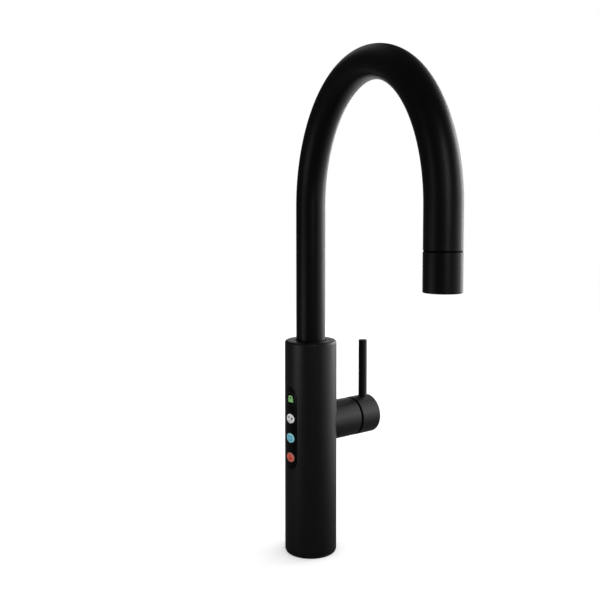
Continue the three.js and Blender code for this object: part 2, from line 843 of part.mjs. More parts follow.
function spoutSpigot() {
  const grooveFloor = socketRadius - oringThickness - 2 * fit;
  const grooveHalf = oringThickness / 2 + fit;
  const grooves = oringHeights.flatMap((height) => [
    [journalRadius, height - grooveHalf],
    [grooveFloor, height - grooveHalf],
    [grooveFloor, height + grooveHalf],
    [journalRadius, height + grooveHalf],
  ]);
  const collarTop = tubeFoot + spigotCollarLength;
  const body = turned([
    [spigotBore, journalFoot],
    [journalRadius, journalFoot],
    ...grooves,
    [journalRadius, tubeFoot],
    [tubeBore - fit, tubeFoot],
    [tubeBore - fit, collarTop],
    [spigotBore, collarTop],
  ], midFacets);
  return cut(body, stopGroove());
}

add('spout_spigot', spoutSpigot(), brass, spout);

const oringMiddle = socketRadius - fit - oringThickness / 2;
add('spigot_oring_lower', oring(oringMiddle, oringThickness, oringHeights[0]), rubber, spout);
add('spigot_oring_upper', oring(oringMiddle, oringThickness, oringHeights[1]), rubber, spout);

// ---------------------------------------------------------------- Outlet

const outlet = new THREE.Group();
outlet.position.x = spoutReach;
spout.add(outlet);

const nozzleBore = nozzleRadius - nozzleWall;
const coreFoot = nozzleTop - nozzleCoreThread;
const coreBore = tubeBore - fit - nozzleCoreWall;
const coreTop = tubeEnd + nozzleCoreGrip;
const nozzleSealHeight = tubeEnd + nozzleCoreGrip / 2;

function nozzleCore() {
  const grip = tubeBore - fit;
  const grooveHalf = oringThickness / 2 + fit;
  const grooveFloor = grip - oringThickness;
  return turned([
    [coreBore, coreFoot],
    [nozzleBore - fit, coreFoot],
    [nozzleBore - fit, nozzleTop],
    [grip, tubeEnd],
    [grip, nozzleSealHeight - grooveHalf],
    [grooveFloor, nozzleSealHeight - grooveHalf],
    [grooveFloor, nozzleSealHeight + grooveHalf],
    [grip, nozzleSealHeight + grooveHalf],
    [grip, coreTop],
    [coreBore, coreTop],
  ], midFacets);
}

add('nozzle_core', nozzleCore(), mattBlack, outlet);

const nozzleOringMiddle = tubeBore - fit - nozzleOringThickness / 2;
const nozzleOring = oring(nozzleOringMiddle, nozzleOringThickness, nozzleSealHeight);
add('nozzle_oring', nozzleOring, rubber, outlet);

const nozzleLip = nozzleBore - nozzleLipWidth;
const nozzleSleeve = turned([
  [nozzleLip, nozzleEnd],
  [nozzleRadius - nozzleChamfer, nozzleEnd],
  [nozzleRadius, nozzleEnd + nozzleChamfer],
  [nozzleRadius, nozzleTop - fit],
  [nozzleRadius - fit, nozzleTop],
  [nozzleBore, nozzleTop],
  [nozzleBore, nozzleEnd + nozzleLipHeight],
  [nozzleLip, nozzleEnd + nozzleLipHeight],
], wideFacets);
add('nozzle_sleeve', nozzleSleeve, mattBlack, outlet);

const aeratorOuter = nozzleBore - fit;
const aeratorSealTop = coreFoot - fit;
const aeratorSealFoot = aeratorSealTop - aeratorSealHeight;
const aeratorWallTop = aeratorSealFoot - fit;

// A cup with a ring of holes round a central jet, and a socket that takes the filtered water tube.
function aeratorInsert() {
  const socketOuter = filteredFit + aeratorSocketWall;
  const socketTopEnd = aeratorDeck + aeratorSocketLength;
  const wallInner = aeratorOuter - aeratorWall;
  const body = turned([
    [aeratorJetRadius, aeratorFoot],
    [aeratorOuter, aeratorFoot],
    [aeratorOuter, aeratorWallTop],
    [wallInner, aeratorWallTop],
    [wallInner, aeratorDeck],
    [socketOuter, aeratorDeck],
    [socketOuter, socketTopEnd],
    [filteredFit, socketTopEnd],
    [filteredFit, aeratorDeck],
    [aeratorJetRadius, aeratorDeck],
  ], midFacets);
  const circle = (socketOuter + wallInner) / 2;
  const holes = Array.from({ length: aeratorHoles }, (_, i) => {
    const angle = (2 * Math.PI * i) / aeratorHoles;
    const hole = disc(aeratorHoleRadius, aeratorFoot - past, aeratorDeck + past, jetFacets);
    return hole.translate(circle * Math.cos(angle), circle * Math.sin(angle), 0);
  });
  return cut(body, ...holes);
}

add('aerator_insert', aeratorInsert(), whitePlastic, outlet);

const aeratorSeal = ring(coreBore, aeratorOuter, aeratorSealFoot, aeratorSealTop, midFacets);
add('aerator_seal', aeratorSeal, rubber, outlet);

// ---------------------------------------------------------------- Key strip

const keyHeightOf = (i) => stripHeight + (i - (keyNames.length - 1) / 2) * keyPitch;

// What lies between two radii from the body's axis, to the left of the column.
function curvedLayer(geometry, inner, outer) {
  const outside = disc(outer, 0, bodyHeight, wideFacets);
  const trimmed = common(geometry, outside);
  return inner > 0 ? cut(trimmed, disc(inner, -past, bodyHeight + past, wideFacets)) : trimmed;
}

function touchPanel() {
  const outline = stadium(stripWidth - 2 * panelGap, stripLength - 2 * panelGap);
  const slab = acrossX(outline, ...throughWall, endSegments);
  const holes = keyNames.map((_, i) =>
    acrossX(oval(keyWidth + 2 * fit, keyHeight + 2 * fit, keyHeightOf(i)), ...throughWall, ovalSegments));
  return cut(curvedLayer(slab, panelInner, bodyRadius), ...holes);
}

add('touch_panel', touchPanel(), glossBlack);

// A key stands through its hole in the panel, and its flange behind the panel keeps it in.
function key(i) {
  const middle = keyHeightOf(i);
  const cap = acrossX(oval(keyWidth, keyHeight, middle), -2 * bodyRadius, keyBackX, ovalSegments);
  const wider = 2 * keyFlange;
  const flangeOval = oval(keyWidth + wider, keyHeight + wider, middle);
  const flange = acrossX(flangeOval, -2 * bodyRadius, keyBackX, ovalSegments);
  return join(curvedLayer(cap, 0, bodyRadius + keyProud), curvedLayer(flange, 0, panelInner - fit));
}

keyNames.forEach((name, i) => add(name, key(i), finish(keyColours[i], 0.3, 0)));

const inPocket = (low, high) =>
  acrossX(stadium(pocketWidth - 2 * fit, pocketLength - 2 * fit), low, high, endSegments);

function keyMat() {
  const throughMat = [matFrontX - past, boardFrontX + past];
  const windows = keyNames.map((_, i) =>
    acrossX(oval(lampWindow, lampWindow, keyHeightOf(i)), ...throughMat, endSegments));
  return cut(inPocket(matFrontX, matFrontX + matThickness), ...windows);
}

add('key_mat', keyMat(), rubber);

// The circuit board with a lamp soldered under each key.
function keyBoard() {
  const half = ledSize / 2;
  const lamps = keyNames.map((_, i) =>
    block(
      [boardFrontX - ledHeight, boardFrontX + boardThickness / 2],
      [-half, half],
      [keyHeightOf(i) - half, keyHeightOf(i) + half],
    ));
  return join(inPocket(boardFrontX, boardBackX), ...lamps);
}

add('key_board', keyBoard(), circuitGreen);

const connectorMiddle = stripHeight - stripLength / 2 + connectorFromEnd;
const connectorBox = (grow) => [
  [-connectorWidth / 2 - grow, connectorWidth / 2 + grow],
  [connectorMiddle - connectorHeight / 2 - grow, connectorMiddle + connectorHeight / 2 + grow],
];

// A tray that lies against the inside of the shell and holds the board and the mat behind the panel.
function panelCarrier() {
  const grow = 2 * carrierRim;
  const outline = stadium(stripWidth + grow, stripLength + grow);
  const slab = acrossX(outline, -2 * bodyRadius, carrierBackX, endSegments);
  const pocket = acrossX(stadium(pocketWidth, pocketLength), -2 * bodyRadius, carrierFloorX, endSegments);
  const leadWay = block([carrierFloorX - past, carrierBackX + past], ...connectorBox(fit));
  return cut(curvedLayer(slab, 0, innerFit), pocket, leadWay);
}

add('panel_carrier', panelCarrier(), blackPlastic);
add(
  'lead_connector',
  block([carrierFloorX, carrierFloorX + connectorDepth], ...connectorBox(0)),
  whitePlastic,
);

export default group;
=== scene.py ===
"""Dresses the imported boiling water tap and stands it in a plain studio.

Lengths are metres, in the row frame: the origin is the centre of the body's foot on the worktop, +Z is up,
the hub points along +X and the keys face -X. A fillet is the radius at which a corner is rounded.
"""

import json
import math

import bmesh
import bpy
import numpy as np
from mathutils import Matrix, Vector

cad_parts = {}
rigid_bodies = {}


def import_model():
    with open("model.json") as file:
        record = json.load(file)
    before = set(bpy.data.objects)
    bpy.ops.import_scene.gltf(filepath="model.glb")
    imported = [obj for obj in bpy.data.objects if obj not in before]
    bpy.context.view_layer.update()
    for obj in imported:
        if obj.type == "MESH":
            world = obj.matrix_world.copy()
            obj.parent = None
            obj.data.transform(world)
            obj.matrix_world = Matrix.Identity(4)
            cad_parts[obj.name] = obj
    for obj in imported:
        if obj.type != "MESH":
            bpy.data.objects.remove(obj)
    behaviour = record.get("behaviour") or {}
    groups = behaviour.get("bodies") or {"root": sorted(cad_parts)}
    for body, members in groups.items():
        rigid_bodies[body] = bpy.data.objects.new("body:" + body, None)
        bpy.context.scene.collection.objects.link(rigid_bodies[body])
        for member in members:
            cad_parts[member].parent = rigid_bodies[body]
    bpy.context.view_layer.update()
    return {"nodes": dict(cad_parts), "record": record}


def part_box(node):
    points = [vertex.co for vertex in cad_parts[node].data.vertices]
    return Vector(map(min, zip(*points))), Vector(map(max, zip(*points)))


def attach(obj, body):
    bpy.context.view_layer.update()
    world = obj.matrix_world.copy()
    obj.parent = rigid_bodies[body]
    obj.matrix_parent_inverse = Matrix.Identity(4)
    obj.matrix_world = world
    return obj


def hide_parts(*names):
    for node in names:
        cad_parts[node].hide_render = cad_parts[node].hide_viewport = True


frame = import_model()

MM = 0.001
TAU = 2 * math.pi
X, Y, Z = range(3)

# ---------------------------------------------------------------- Sizes read from the frame


def span(node, axis):
    """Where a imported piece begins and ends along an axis."""
    low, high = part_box(node)
    return low[axis], high[axis]


def extent(node, axis):
    """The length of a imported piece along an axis."""
    low, high = span(node, axis)
    return high - low


def middle(node):
    """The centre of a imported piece's box."""
    low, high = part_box(node)
    return (low + high) / 2


BODY_RADIUS = span("body_shell", Y)[1]
SHELL_FOOT, BODY_TOP = span("body_shell", Z)
HUB_START, HUB_END = span("hub_sleeve", X)
HUB_HEIGHT = middle("hub_sleeve").z
HUB_RADIUS = span("hub_sleeve", Y)[1]
KNOB_START, KNOB_END = span("lever_knob", X)
KNOB_RADIUS = span("lever_knob", Y)[1]
PIN_X = middle("lever_pin").x
PIN_RADIUS = span("lever_pin", Y)[1]
PIN_FOOT, PIN_TOP = span("lever_pin", Z)
TUBE_FOOT, TUBE_CROWN = span("spout_tube", Z)
NOZZLE_END, NOZZLE_TOP = span("nozzle_sleeve", Z)
OUTLET = middle("nozzle_sleeve").xy
BEND_RADIUS = OUTLET.length / 2
SPOUT_HEADING = OUTLET.to_3d().normalized()
STRIP_HEIGHT = middle("touch_panel").z
STRIP_WIDTH = 2 * span("touch_panel", Y)[1]
STRIP_LENGTH = extent("touch_panel", Z)

# Sizes that the boxes in the frame don't give
TUBE_RADIUS = 14 * MM
TUBE_WALL = 1.5 * MM
NOZZLE_RADIUS = 14.1 * MM
NOZZLE_JOINT = 1 * MM
SHELL_WALL = 2.6 * MM
SHELL_TOP_WALL = 3 * MM
NECK_HOLE_RADIUS = 14.9 * MM
STOP_HOLE_RADIUS = 2.6 * MM
CLAMP_BORE = 14.3 * MM
PANEL_GAP = 0.25 * MM
BEND_HEIGHT = TUBE_CROWN - TUBE_RADIUS - BEND_RADIUS

# ---------------------------------------------------------------- Materials

GRAIN_RANGE = (0.3, 0.7)  # the range that most of a noise lies in
BROAD_SCALE = 60
CLOUD_SCALE = 320
FINE_SCALE = 1500
COAT_SCALE = 2600
COAT_DEPTH = 0.012 * MM
KEY_GLOW = 0.25


def shader(name):
    """A material with an empty principled shader, and what its nodes are made with."""
    material = bpy.data.materials.new(name)
    material.use_nodes = True
    nodes = material.node_tree.nodes
    return material, nodes, material.node_tree.links, nodes["Principled BSDF"]


def grain(nodes, links, scale, detail=3, stretch=(1, 1, 1)):
    """Noise in metres of the row frame, so that a grain keeps its real size on every piece."""
    place = nodes.new("ShaderNodeTexCoord")
    mapping = nodes.new("ShaderNodeMapping")
    mapping.inputs["Scale"].default_value = stretch
    noise = nodes.new("ShaderNodeTexNoise")
    noise.inputs["Scale"].default_value = scale
    noise.inputs["Detail"].default_value = detail
    links.new(place.outputs["Object"], mapping.inputs["Vector"])
    links.new(mapping.outputs["Vector"], noise.inputs["Vector"])
    return noise.outputs["Fac"]


def between(nodes, links, share, low, high, start=0, end=1):
    """Maps a socket from the range of start to end to the range of low to high."""
    spread = nodes.new("ShaderNodeMapRange")
    spread.inputs["From Min"].default_value = start
    spread.inputs["From Max"].default_value = end
    spread.inputs["To Min"].default_value = low
    spread.inputs["To Max"].default_value = high
    links.new(share, spread.inputs["Value"])
    return spread.outputs["Result"]


def tint(nodes, links, fac, dark, light):
    """Maps a grain to a range of colours."""
    ramp = nodes.new("ShaderNodeValToRGB")
    for element, position, colour in zip(ramp.color_ramp.elements, GRAIN_RANGE, (dark, light)):
        element.position = position
        element.color = (*colour, 1)
    links.new(fac, ramp.inputs["Fac"])
    return ramp.outputs["Color"]


def bump(nodes, links, principled, height, depth):
    """Turns a grain into fine hills of that depth on a finish."""
    lift = nodes.new("ShaderNodeBump")
    lift.inputs["Distance"].default_value = depth
    links.new(height, lift.inputs["Height"])
    links.new(lift.outputs["Normal"], principled.inputs["Normal"])


def grained(name, dark, light, rough, metallic=0, scale=FINE_SCALE, depth=0.02 * MM, stretch=(1, 1, 1),
            specular=0.5):
    """A finish with a fine grain in its roughness and height and a broad one in its colour.

    rough is the range of its roughness."""
    material, nodes, links, principled = shader(name)
    fine = grain(nodes, links, scale, stretch=stretch)
    broad = grain(nodes, links, BROAD_SCALE, detail=2)
    principled.inputs["Metallic"].default_value = metallic
    principled.inputs["Specular IOR Level"].default_value = specular
    links.new(tint(nodes, links, broad, dark, light), principled.inputs["Base Color"])
    links.new(between(nodes, links, fine, *rough, *GRAIN_RANGE), principled.inputs["Roughness"])
    bump(nodes, links, principled, fine, depth)
    return material


def coat(name, dark, light, rough, specular=0.5):
    """A matt coat with a very fine grain."""
    return grained(name, dark, light, rough, scale=COAT_SCALE, depth=COAT_DEPTH, specular=specular)


MATT_BLACK = coat("matt_black_coat", (0.0013, 0.0013, 0.0015), (0.002, 0.002, 0.0022), (0.36, 0.46))
# The body's matt coat again, darker and less reflective on the spout and its outlet: painted shade for the
# dimmer light that the spout gets.
SPOUT_SHADED_BLACK = coat("spout_shaded_black_coat", (0.0008, 0.0008, 0.0009), (0.0013, 0.0013, 0.0014), (0.34, 0.44),
                   specular=0.25)
GASKET_BLACK = grained("foot_gasket_rubber", (0.003, 0.003, 0.003), (0.006, 0.006, 0.006), (0.6, 0.75),
                       scale=1800)
# The joint ring's finish is near black and barely reflecting: painted shade for the shadow in the joint
# between the spout tube and its sleeve.
JOINT_PAINTED_SHADE = grained("joint_ring_painted_shade", (0.0004, 0.0004, 0.0004), (0.0008, 0.0008, 0.0008), (0.75, 0.9),
                      scale=1800, specular=0.08)
RUBBER = grained("sealing_rubber", (0.012, 0.012, 0.012), (0.022, 0.021, 0.02), (0.7, 0.85))
BRASS = grained("turned_brass", (0.56, 0.38, 0.14), (0.7, 0.5, 0.22), (0.2, 0.38), metallic=1,
               scale=500, stretch=(1, 1, 8))
STEEL = grained("brushed_steel", (0.5, 0.5, 0.5), (0.62, 0.62, 0.61), (0.22, 0.4), metallic=1,
               scale=700, stretch=(1, 1, 10))
WHITE_PLASTIC = grained("natural_acetal", (0.74, 0.73, 0.69), (0.8, 0.79, 0.75), (0.35, 0.5), scale=1200)
GREY_PLASTIC = grained("grey_acetal", (0.07, 0.075, 0.08), (0.1, 0.1, 0.11), (0.4, 0.55), scale=1200)
BLACK_PLASTIC = grained("black_moulding", (0.012, 0.012, 0.013), (0.02, 0.02, 0.021), (0.45, 0.6))
CLEAR_TUBE = grained("water_tube", (0.6, 0.63, 0.64), (0.7, 0.72, 0.73), (0.25, 0.4), scale=900)
CERAMIC = grained("polished_ceramic", (0.82, 0.8, 0.76), (0.88, 0.86, 0.83), (0.08, 0.16), depth=0.004 * MM)
BOARD = grained("circuit_board", (0.012, 0.09, 0.04), (0.02, 0.14, 0.06), (0.3, 0.45), scale=800)


def lit(name, dark, light):
    """Translucent plastic with a lamp behind it."""
    material, nodes, links, principled = shader(name)
    cloud = grain(nodes, links, CLOUD_SCALE, detail=2)
    colour = tint(nodes, links, cloud, dark, light)
    links.new(colour, principled.inputs["Base Color"])
    links.new(colour, principled.inputs["Emission Color"])
    principled.inputs["Emission Strength"].default_value = KEY_GLOW
    fine = grain(nodes, links, FINE_SCALE)
    links.new(between(nodes, links, fine, 0.3, 0.42, *GRAIN_RANGE), principled.inputs["Roughness"])
    return material


LIT_WHITE = lit("lit_white_key", (0.5, 0.5, 0.5), (0.7, 0.7, 0.7))
LIT_PALE_BLUE = lit("lit_blue_rim", (0.19, 0.46, 0.52), (0.24, 0.53, 0.6))
LIT_BLUE = lit("lit_blue_key", (0.13, 0.41, 0.54), (0.18, 0.48, 0.62))
LIT_PALE_RED = lit("lit_red_rim", (0.34, 0.115, 0.09), (0.4, 0.14, 0.11))
LIT_RED = lit("lit_red_key", (0.5, 0.07, 0.045), (0.6, 0.09, 0.06))
LIT_GREEN = lit("lit_green_symbol", (0.15, 0.36, 0.12), (0.21, 0.45, 0.16))


def gloss_black():
    """A polished panel with faint wiping marks."""
    material, nodes, links, principled = shader("gloss_black_panel")
    smear = grain(nodes, links, scale=130, detail=5, stretch=(1, 1, 0.35))
    colour = tint(nodes, links, smear, (0.0006, 0.0006, 0.0007), (0.0014, 0.0014, 0.0016))
    links.new(colour, principled.inputs["Base Color"])
    links.new(between(nodes, links, smear, 0.05, 0.16, *GRAIN_RANGE), principled.inputs["Roughness"])
    principled.inputs["Specular IOR Level"].default_value = 0.2
    return material


GLOSS_BLACK = gloss_black()
KEY_MARK = grained("key_mark", (0.07, 0.07, 0.072), (0.1, 0.1, 0.102), (0.35, 0.5))
BLUE_MARK = grained("blue_key_mark", (0.04, 0.22, 0.3), (0.055, 0.26, 0.36), (0.35, 0.5))
RED_MARK = grained("red_key_mark", (0.4, 0.055, 0.03), (0.46, 0.065, 0.038), (0.35, 0.5))
RING_MARK = grained("ring_mark", (0.009, 0.009, 0.01), (0.018, 0.018, 0.019), (0.3, 0.4))

# ---------------------------------------------------------------- Building pieces

UPRIGHT = Matrix.Identity(4)
SAME_POINT = 1e-7  # points nearer than this are merged
FILLET_STEPS = 5


def skin(name, rings):
    """The closed surface over a loop of rings, each as many points round.

    A ring on the axis closes to a point."""
    count, around = len(rings), len(rings[0])
    faces = []
    for i in range(count):
        here, there = i * around, (i + 1) % count * around
        for j in range(around):
            k = (j + 1) % around
            faces.append((here + j, here + k, there + k, there + j))
    mesh = bpy.data.meshes.new(name)
    mesh.from_pydata(np.concatenate(rings).tolist(), [], faces)
    work = bmesh.new()
    work.from_mesh(mesh)
    bmesh.ops.remove_doubles(work, verts=work.verts, dist=SAME_POINT)
    bmesh.ops.dissolve_degenerate(work, edges=work.edges, dist=SAME_POINT)
    bmesh.ops.recalc_face_normals(work, faces=work.faces)
    work.to_mesh(mesh)
    work.free()
    return mesh


def rounded(corners):
    """Turns a closed outline of (radius, height, fillet) corners into points, with an arc at each fillet."""
    outline = []
    for i, (radius, height, fillet) in enumerate(corners):
        here = Vector((radius, height))
        before = (Vector(corners[i - 1][:2]) - here).normalized()
        after = (Vector(corners[(i + 1) % len(corners)][:2]) - here).normalized()
        if fillet == 0:
            outline.append(here)
            continue
        half = before.angle(after) / 2
        centre = here + (before + after).normalized() * fillet / math.sin(half)
        start = here + before * fillet / math.tan(half) - centre
        end = here + after * fillet / math.tan(half) - centre
        for step in range(FILLET_STEPS + 1):
            outline.append(centre + fillet * start.slerp(end, step / FILLET_STEPS).normalized())
    return outline


def all_round(around):
    """The angles of that many points round a circle."""
    return np.linspace(0, TAU, around, endpoint=False)


def circle(radius, height, around):
    """A level ring of points about Z. radius is one number, or one for each point."""
    angles = all_round(around)
    return np.stack([radius * np.cos(angles), radius * np.sin(angles), np.full(around, height)], 1)


def lathe(name, corners, around, place=UPRIGHT):
    """Turns a closed outline of (radius, height, fillet) corners about Z, then puts it in place."""
    mesh = skin(name, [circle(radius, height, around) for radius, height in rounded(corners)])
    mesh.transform(place)
    return mesh


def tube(name, inner, outer, low, high, fillet, around=96):
    """A short tube or ring with rounded edges."""
    corners = [(inner, low, fillet), (outer, low, fillet), (outer, high, fillet), (inner, high, fillet)]
    return lathe(name, corners, around)


def rod(radius, low, high, place, around=48):
    """A plain cylinder to cut a hole with."""
    return lathe("rod", [(0, low, 0), (radius, low, 0), (radius, high, 0), (0, high, 0)], around, place)


def cut(mesh, *tools):
    """Cuts meshes out of a mesh."""
    scene = bpy.context.scene.collection.objects
    blank = bpy.data.objects.new("blank", mesh)
    scene.link(blank)
    used = [blank]
    for tool in tools:
        cutter = bpy.data.objects.new("cutter", tool)
        scene.link(cutter)
        used.append(cutter)
        boolean = blank.modifiers.new("cut", "BOOLEAN")
        boolean.operation = "DIFFERENCE"
        boolean.solver = "EXACT"
        boolean.object = cutter
    graph = bpy.context.evaluated_depsgraph_get()
    made = bpy.data.meshes.new_from_object(blank.evaluated_get(graph))
    for piece in used:
        bpy.data.objects.remove(piece)
    return made


def add(name, mesh, body, material, slot, *replaces, sharp=32):
    """Makes a piece of a mesh and puts it on its body. Edges of more than sharp degrees stay sharp."""
    piece = bpy.data.objects.new(name, mesh)
    bpy.context.scene.collection.objects.link(piece)
    mesh.materials.clear()
    mesh.materials.append(material)
    mesh.shade_smooth()
    mesh.set_sharp_from_angle(angle=math.radians(sharp))
    piece.modifiers.new("weighted", "WEIGHTED_NORMAL").keep_sharp = True
    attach(piece, body)
    if replaces:
        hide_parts(*replaces)


# Where a piece that is turned about Z belongs
ON_HUB = Matrix.Translation((0, 0, HUB_HEIGHT)) @ Matrix.Rotation(math.pi / 2, 4, "Y")
STOP_HEIGHT = middle("stop_screw").z
ON_STOP_SCREW = Matrix.Translation((0, 0, STOP_HEIGHT)) @ Matrix.Rotation(-math.pi / 2, 4, "X")
AT_OUTLET = Matrix.Translation(OUTLET.to_3d())

# ---------------------------------------------------------------- Flat work bent round the body

ROUND_END_STEPS = 16
LINE_END_STEPS = 8
PLATE_EDGE_STEPS = 2
SLICE = 1.2 * MM  # a plate is cut into slices, so that it can be bent


def stadium(width, length):
    """An upright strip with round ends, about its middle."""
    end, straight = width / 2, (length - width) / 2
    turns = [math.pi * i / ROUND_END_STEPS for i in range(ROUND_END_STEPS + 1)]
    top = [(end * math.cos(t), straight + end * math.sin(t)) for t in turns]
    return top + [(-x, -y) for x, y in top]


def oval(width, height, at=(0, 0), steps=48):
    """An ellipse about a place."""
    turns = [TAU * i / steps for i in range(steps)]
    return [(at[0] + width / 2 * math.cos(t), at[1] + height / 2 * math.sin(t)) for t in turns]


def bent_plate(name, outlines, height, surface, thickness, edge):
    """A plate with rounded edges and any holes, bent round the body on its key side, at that height.

    surface(u, v) is how far its face stands out from the body's surface."""
    curve = bpy.data.curves.new(name, "CURVE")
    curve.dimensions = "2D"
    curve.fill_mode = "BOTH"
    curve.extrude = thickness / 2 - edge
    curve.bevel_depth = edge
    curve.bevel_resolution = PLATE_EDGE_STEPS
    curve.offset = -edge
    for outline in outlines:
        spline = curve.splines.new("POLY")
        spline.points.add(len(outline) - 1)
        spline.points.foreach_set("co", [c for u, v in outline for c in (u, v, 0, 1)])
        spline.use_cyclic_u = True
    flat = bpy.data.objects.new(name, curve)
    bpy.context.scene.collection.objects.link(flat)
    graph = bpy.context.evaluated_depsgraph_get()
    mesh = bpy.data.meshes.new_from_object(flat.evaluated_get(graph))
    bpy.data.objects.remove(flat)
    work = bmesh.new()
    work.from_mesh(mesh)
    bmesh.ops.remove_doubles(work, verts=work.verts, dist=SAME_POINT)
    for axis, across in ((X, Vector((1, 0, 0))), (Y, Vector((0, 1, 0)))):
        reach = max(abs(point[axis]) for outline in outlines for point in outline)
        slices = int(reach / SLICE)
        for i in range(-slices, slices + 1):
            everything = work.verts[:] + work.edges[:] + work.faces[:]
            bmesh.ops.bisect_plane(work, geom=everything, plane_co=across * i * SLICE, plane_no=across)
    for vertex in work.verts:
        u, v, w = vertex.co
        radius = BODY_RADIUS + surface(u, v) + w - thickness / 2
        angle = math.asin(u / BODY_RADIUS)
        vertex.co = (-radius * math.cos(angle), radius * math.sin(angle), height + v)
    bmesh.ops.recalc_face_normals(work, faces=work.faces)
    work.to_mesh(mesh)
    work.free()
    return mesh


# ---------------------------------------------------------------- Body


def shell():
    """The body's tube and top, with openings for the key strip, the hub and the stop screw."""
    top_edge, foot_edge, neck_edge = 2.5 * MM, 0.3 * MM, 0.3 * MM
    inner, under_top = BODY_RADIUS - SHELL_WALL, BODY_TOP - SHELL_TOP_WALL
    outline = [
        (inner, SHELL_FOOT, 0),
        (BODY_RADIUS, SHELL_FOOT, foot_edge),
        (BODY_RADIUS, BODY_TOP, top_edge),
        (NECK_HOLE_RADIUS, BODY_TOP, neck_edge),
        (NECK_HOLE_RADIUS, under_top, 0),
        (inner, under_top, 0),
    ]
    inside, outside = BODY_RADIUS / 2, 2 * BODY_RADIUS
    window = stadium(STRIP_WIDTH + 2 * PANEL_GAP, STRIP_LENGTH + 2 * PANEL_GAP)
    near, far = (np.array([(x, u, STRIP_HEIGHT + v) for u, v in window]) for x in (-outside, -inside))
    near_end, far_end = (np.broadcast_to(ring.mean(0), ring.shape) for ring in (near, far))
    hub_hole_radius = HUB_RADIUS - 2 * MM
    return cut(
        lathe("shell", outline, around=192),
        skin("window", [near_end, near, far, far_end]),
        rod(hub_hole_radius, inside, outside, ON_HUB, around=96),
        rod(STOP_HOLE_RADIUS, inside, outside, ON_STOP_SCREW),
    )


def foot_gasket():
    """The rubber ring between the body and the worktop."""
    width, fillet = 8 * MM, 0.3 * MM
    outer = span("base_gasket", Y)[1]
    return tube("gasket", outer - width, outer, 0, span("base_gasket", Z)[1], fillet, around=128)


def stop_screw():
    """A grub screw with a thin point and a hexagon socket."""
    low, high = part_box("stop_screw")
    radius = (high.x - low.x) / 2
    point_radius, point_length, point_edge = 1.6 * MM, 3.7 * MM, 0.3 * MM
    socket_radius, socket_depth, head_edge = 1.35 * MM, 2 * MM, 0.4 * MM
    outline = [
        (0, low.y, 0),
        (point_radius, low.y, point_edge),
        (point_radius, low.y + point_length, 0),
        (radius, low.y + point_length, 0),
        (radius, high.y, head_edge),
        (0, high.y, 0),
    ]
    socket = rod(socket_radius, high.y - socket_depth, high.y + MM, ON_STOP_SCREW, around=6)
    return cut(lathe("screw", outline, around=48, place=ON_STOP_SCREW), socket)


add("body", shell(), "tap_body", MATT_BLACK, "matt_black", "body_shell")
add("foot_gasket", foot_gasket(), "tap_body", GASKET_BLACK, "rubber", "base_gasket")
add("stop_grub_screw", stop_screw(), "tap_body", STEEL, "steel", "stop_screw")

# ---------------------------------------------------------------- Under the worktop


def threaded_shank():
    """A hollow stud with a real helical thread on the part below the body."""
    low, high = span("mounting_shank", Z)
    major = span("mounting_shank", Y)[1]
    bore, pitch, depth, thread_top = 10.5 * MM, 1.5 * MM, 0.9 * MM, -2 * MM
    steepness, flat_root = 1.6, 0.2
    around, rings_per_turn = 72, 8
    rings = [circle(bore, low, around)]
    for z in np.arange(low, thread_top, pitch / rings_per_turn):
        phase = (z / pitch - all_round(around) / TAU) % 1
        ridge = np.clip(steepness * (1 - np.abs(2 * phase - 1)) - flat_root, 0, 1)
        lead_in = min(1, (z - low) / pitch)
        rings.append(circle(major - depth * (1 - ridge * lead_in), z, around))
    rings += [circle(major - depth, thread_top, around), circle(major, thread_top + depth, around)]
    rings += [circle(major, high, around), circle(bore, high, around)]
    return skin("shank", rings)


def clamp_ring(node, fillet):
    """A ring round the shank, as wide and as thick as a packed one."""
    low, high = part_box(node)
    return tube(node, CLAMP_BORE, high.y, low.z, high.z, fillet)


def shank_nut():
    """A hexagon nut, its corners turned off at both faces."""
    low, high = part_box("shank_nut")
    flat, bore_edge, face_edge, turned_off_at = high.y, 0.5 * MM, 0.4 * MM, math.radians(25)
    around, ring_count = 240, 25
    from_flat = (all_round(around) - math.pi / 2 + math.pi / 6) % (math.pi / 3) - math.pi / 6
    hexagon = flat / np.cos(from_flat)
    rings = [circle(CLAMP_BORE + bore_edge, low.z, around)]
    for share in np.linspace(0, 1, ring_count):
        z = low.z + share * (high.z - low.z)
        from_face = min(z - low.z, high.z - z)
        turned_off = flat - face_edge + from_face / math.tan(turned_off_at)
        rings.append(circle(np.minimum(hexagon, turned_off), z, around))
    rings.append(circle(CLAMP_BORE + bore_edge, high.z, around))
    rings += [circle(CLAMP_BORE, z, around) for z in (high.z - bore_edge, low.z + bore_edge)]
    return skin("nut", rings)


add("threaded_shank", threaded_shank(), "tap_body", BRASS, "brass", "mounting_shank", sharp=25)
add("deck_rubber", clamp_ring("clamp_rubber", fillet=0.7 * MM), "tap_body", RUBBER, "rubber", "clamp_rubber")
add("deck_washer", clamp_ring("clamp_washer", fillet=0.35 * MM), "tap_body", STEEL, "steel", "clamp_washer")
add("shank_lock_nut", shank_nut(), "tap_body", BRASS, "brass", "shank_nut", sharp=20)

# ---------------------------------------------------------------- Hub and lever


def hub():
    """The hub's sleeve: its near end follows the body's round wall."""
    bore, lip, opening = HUB_RADIUS - 2.7 * MM, 2 * MM, 10.8 * MM
    end_edge, opening_edge, body_gap = 0.5 * MM, 0.2 * MM, 0.04 * MM
    start = HUB_START - 4 * MM  # inside the body: its points are moved out to the wall below
    mesh = lathe("hub", [
        (bore, start, 0),
        (HUB_RADIUS, start, 0),
        (HUB_RADIUS, HUB_END, end_edge),
        (opening, HUB_END, opening_edge),
        (opening, HUB_END - lip, 0),
        (bore, HUB_END - lip, 0),
    ], around=160, place=ON_HUB)
    for vertex in mesh.vertices:
        if vertex.co.x < HUB_START:
            vertex.co.x = math.sqrt((BODY_RADIUS + body_gap) ** 2 - vertex.co.y ** 2)
    return mesh


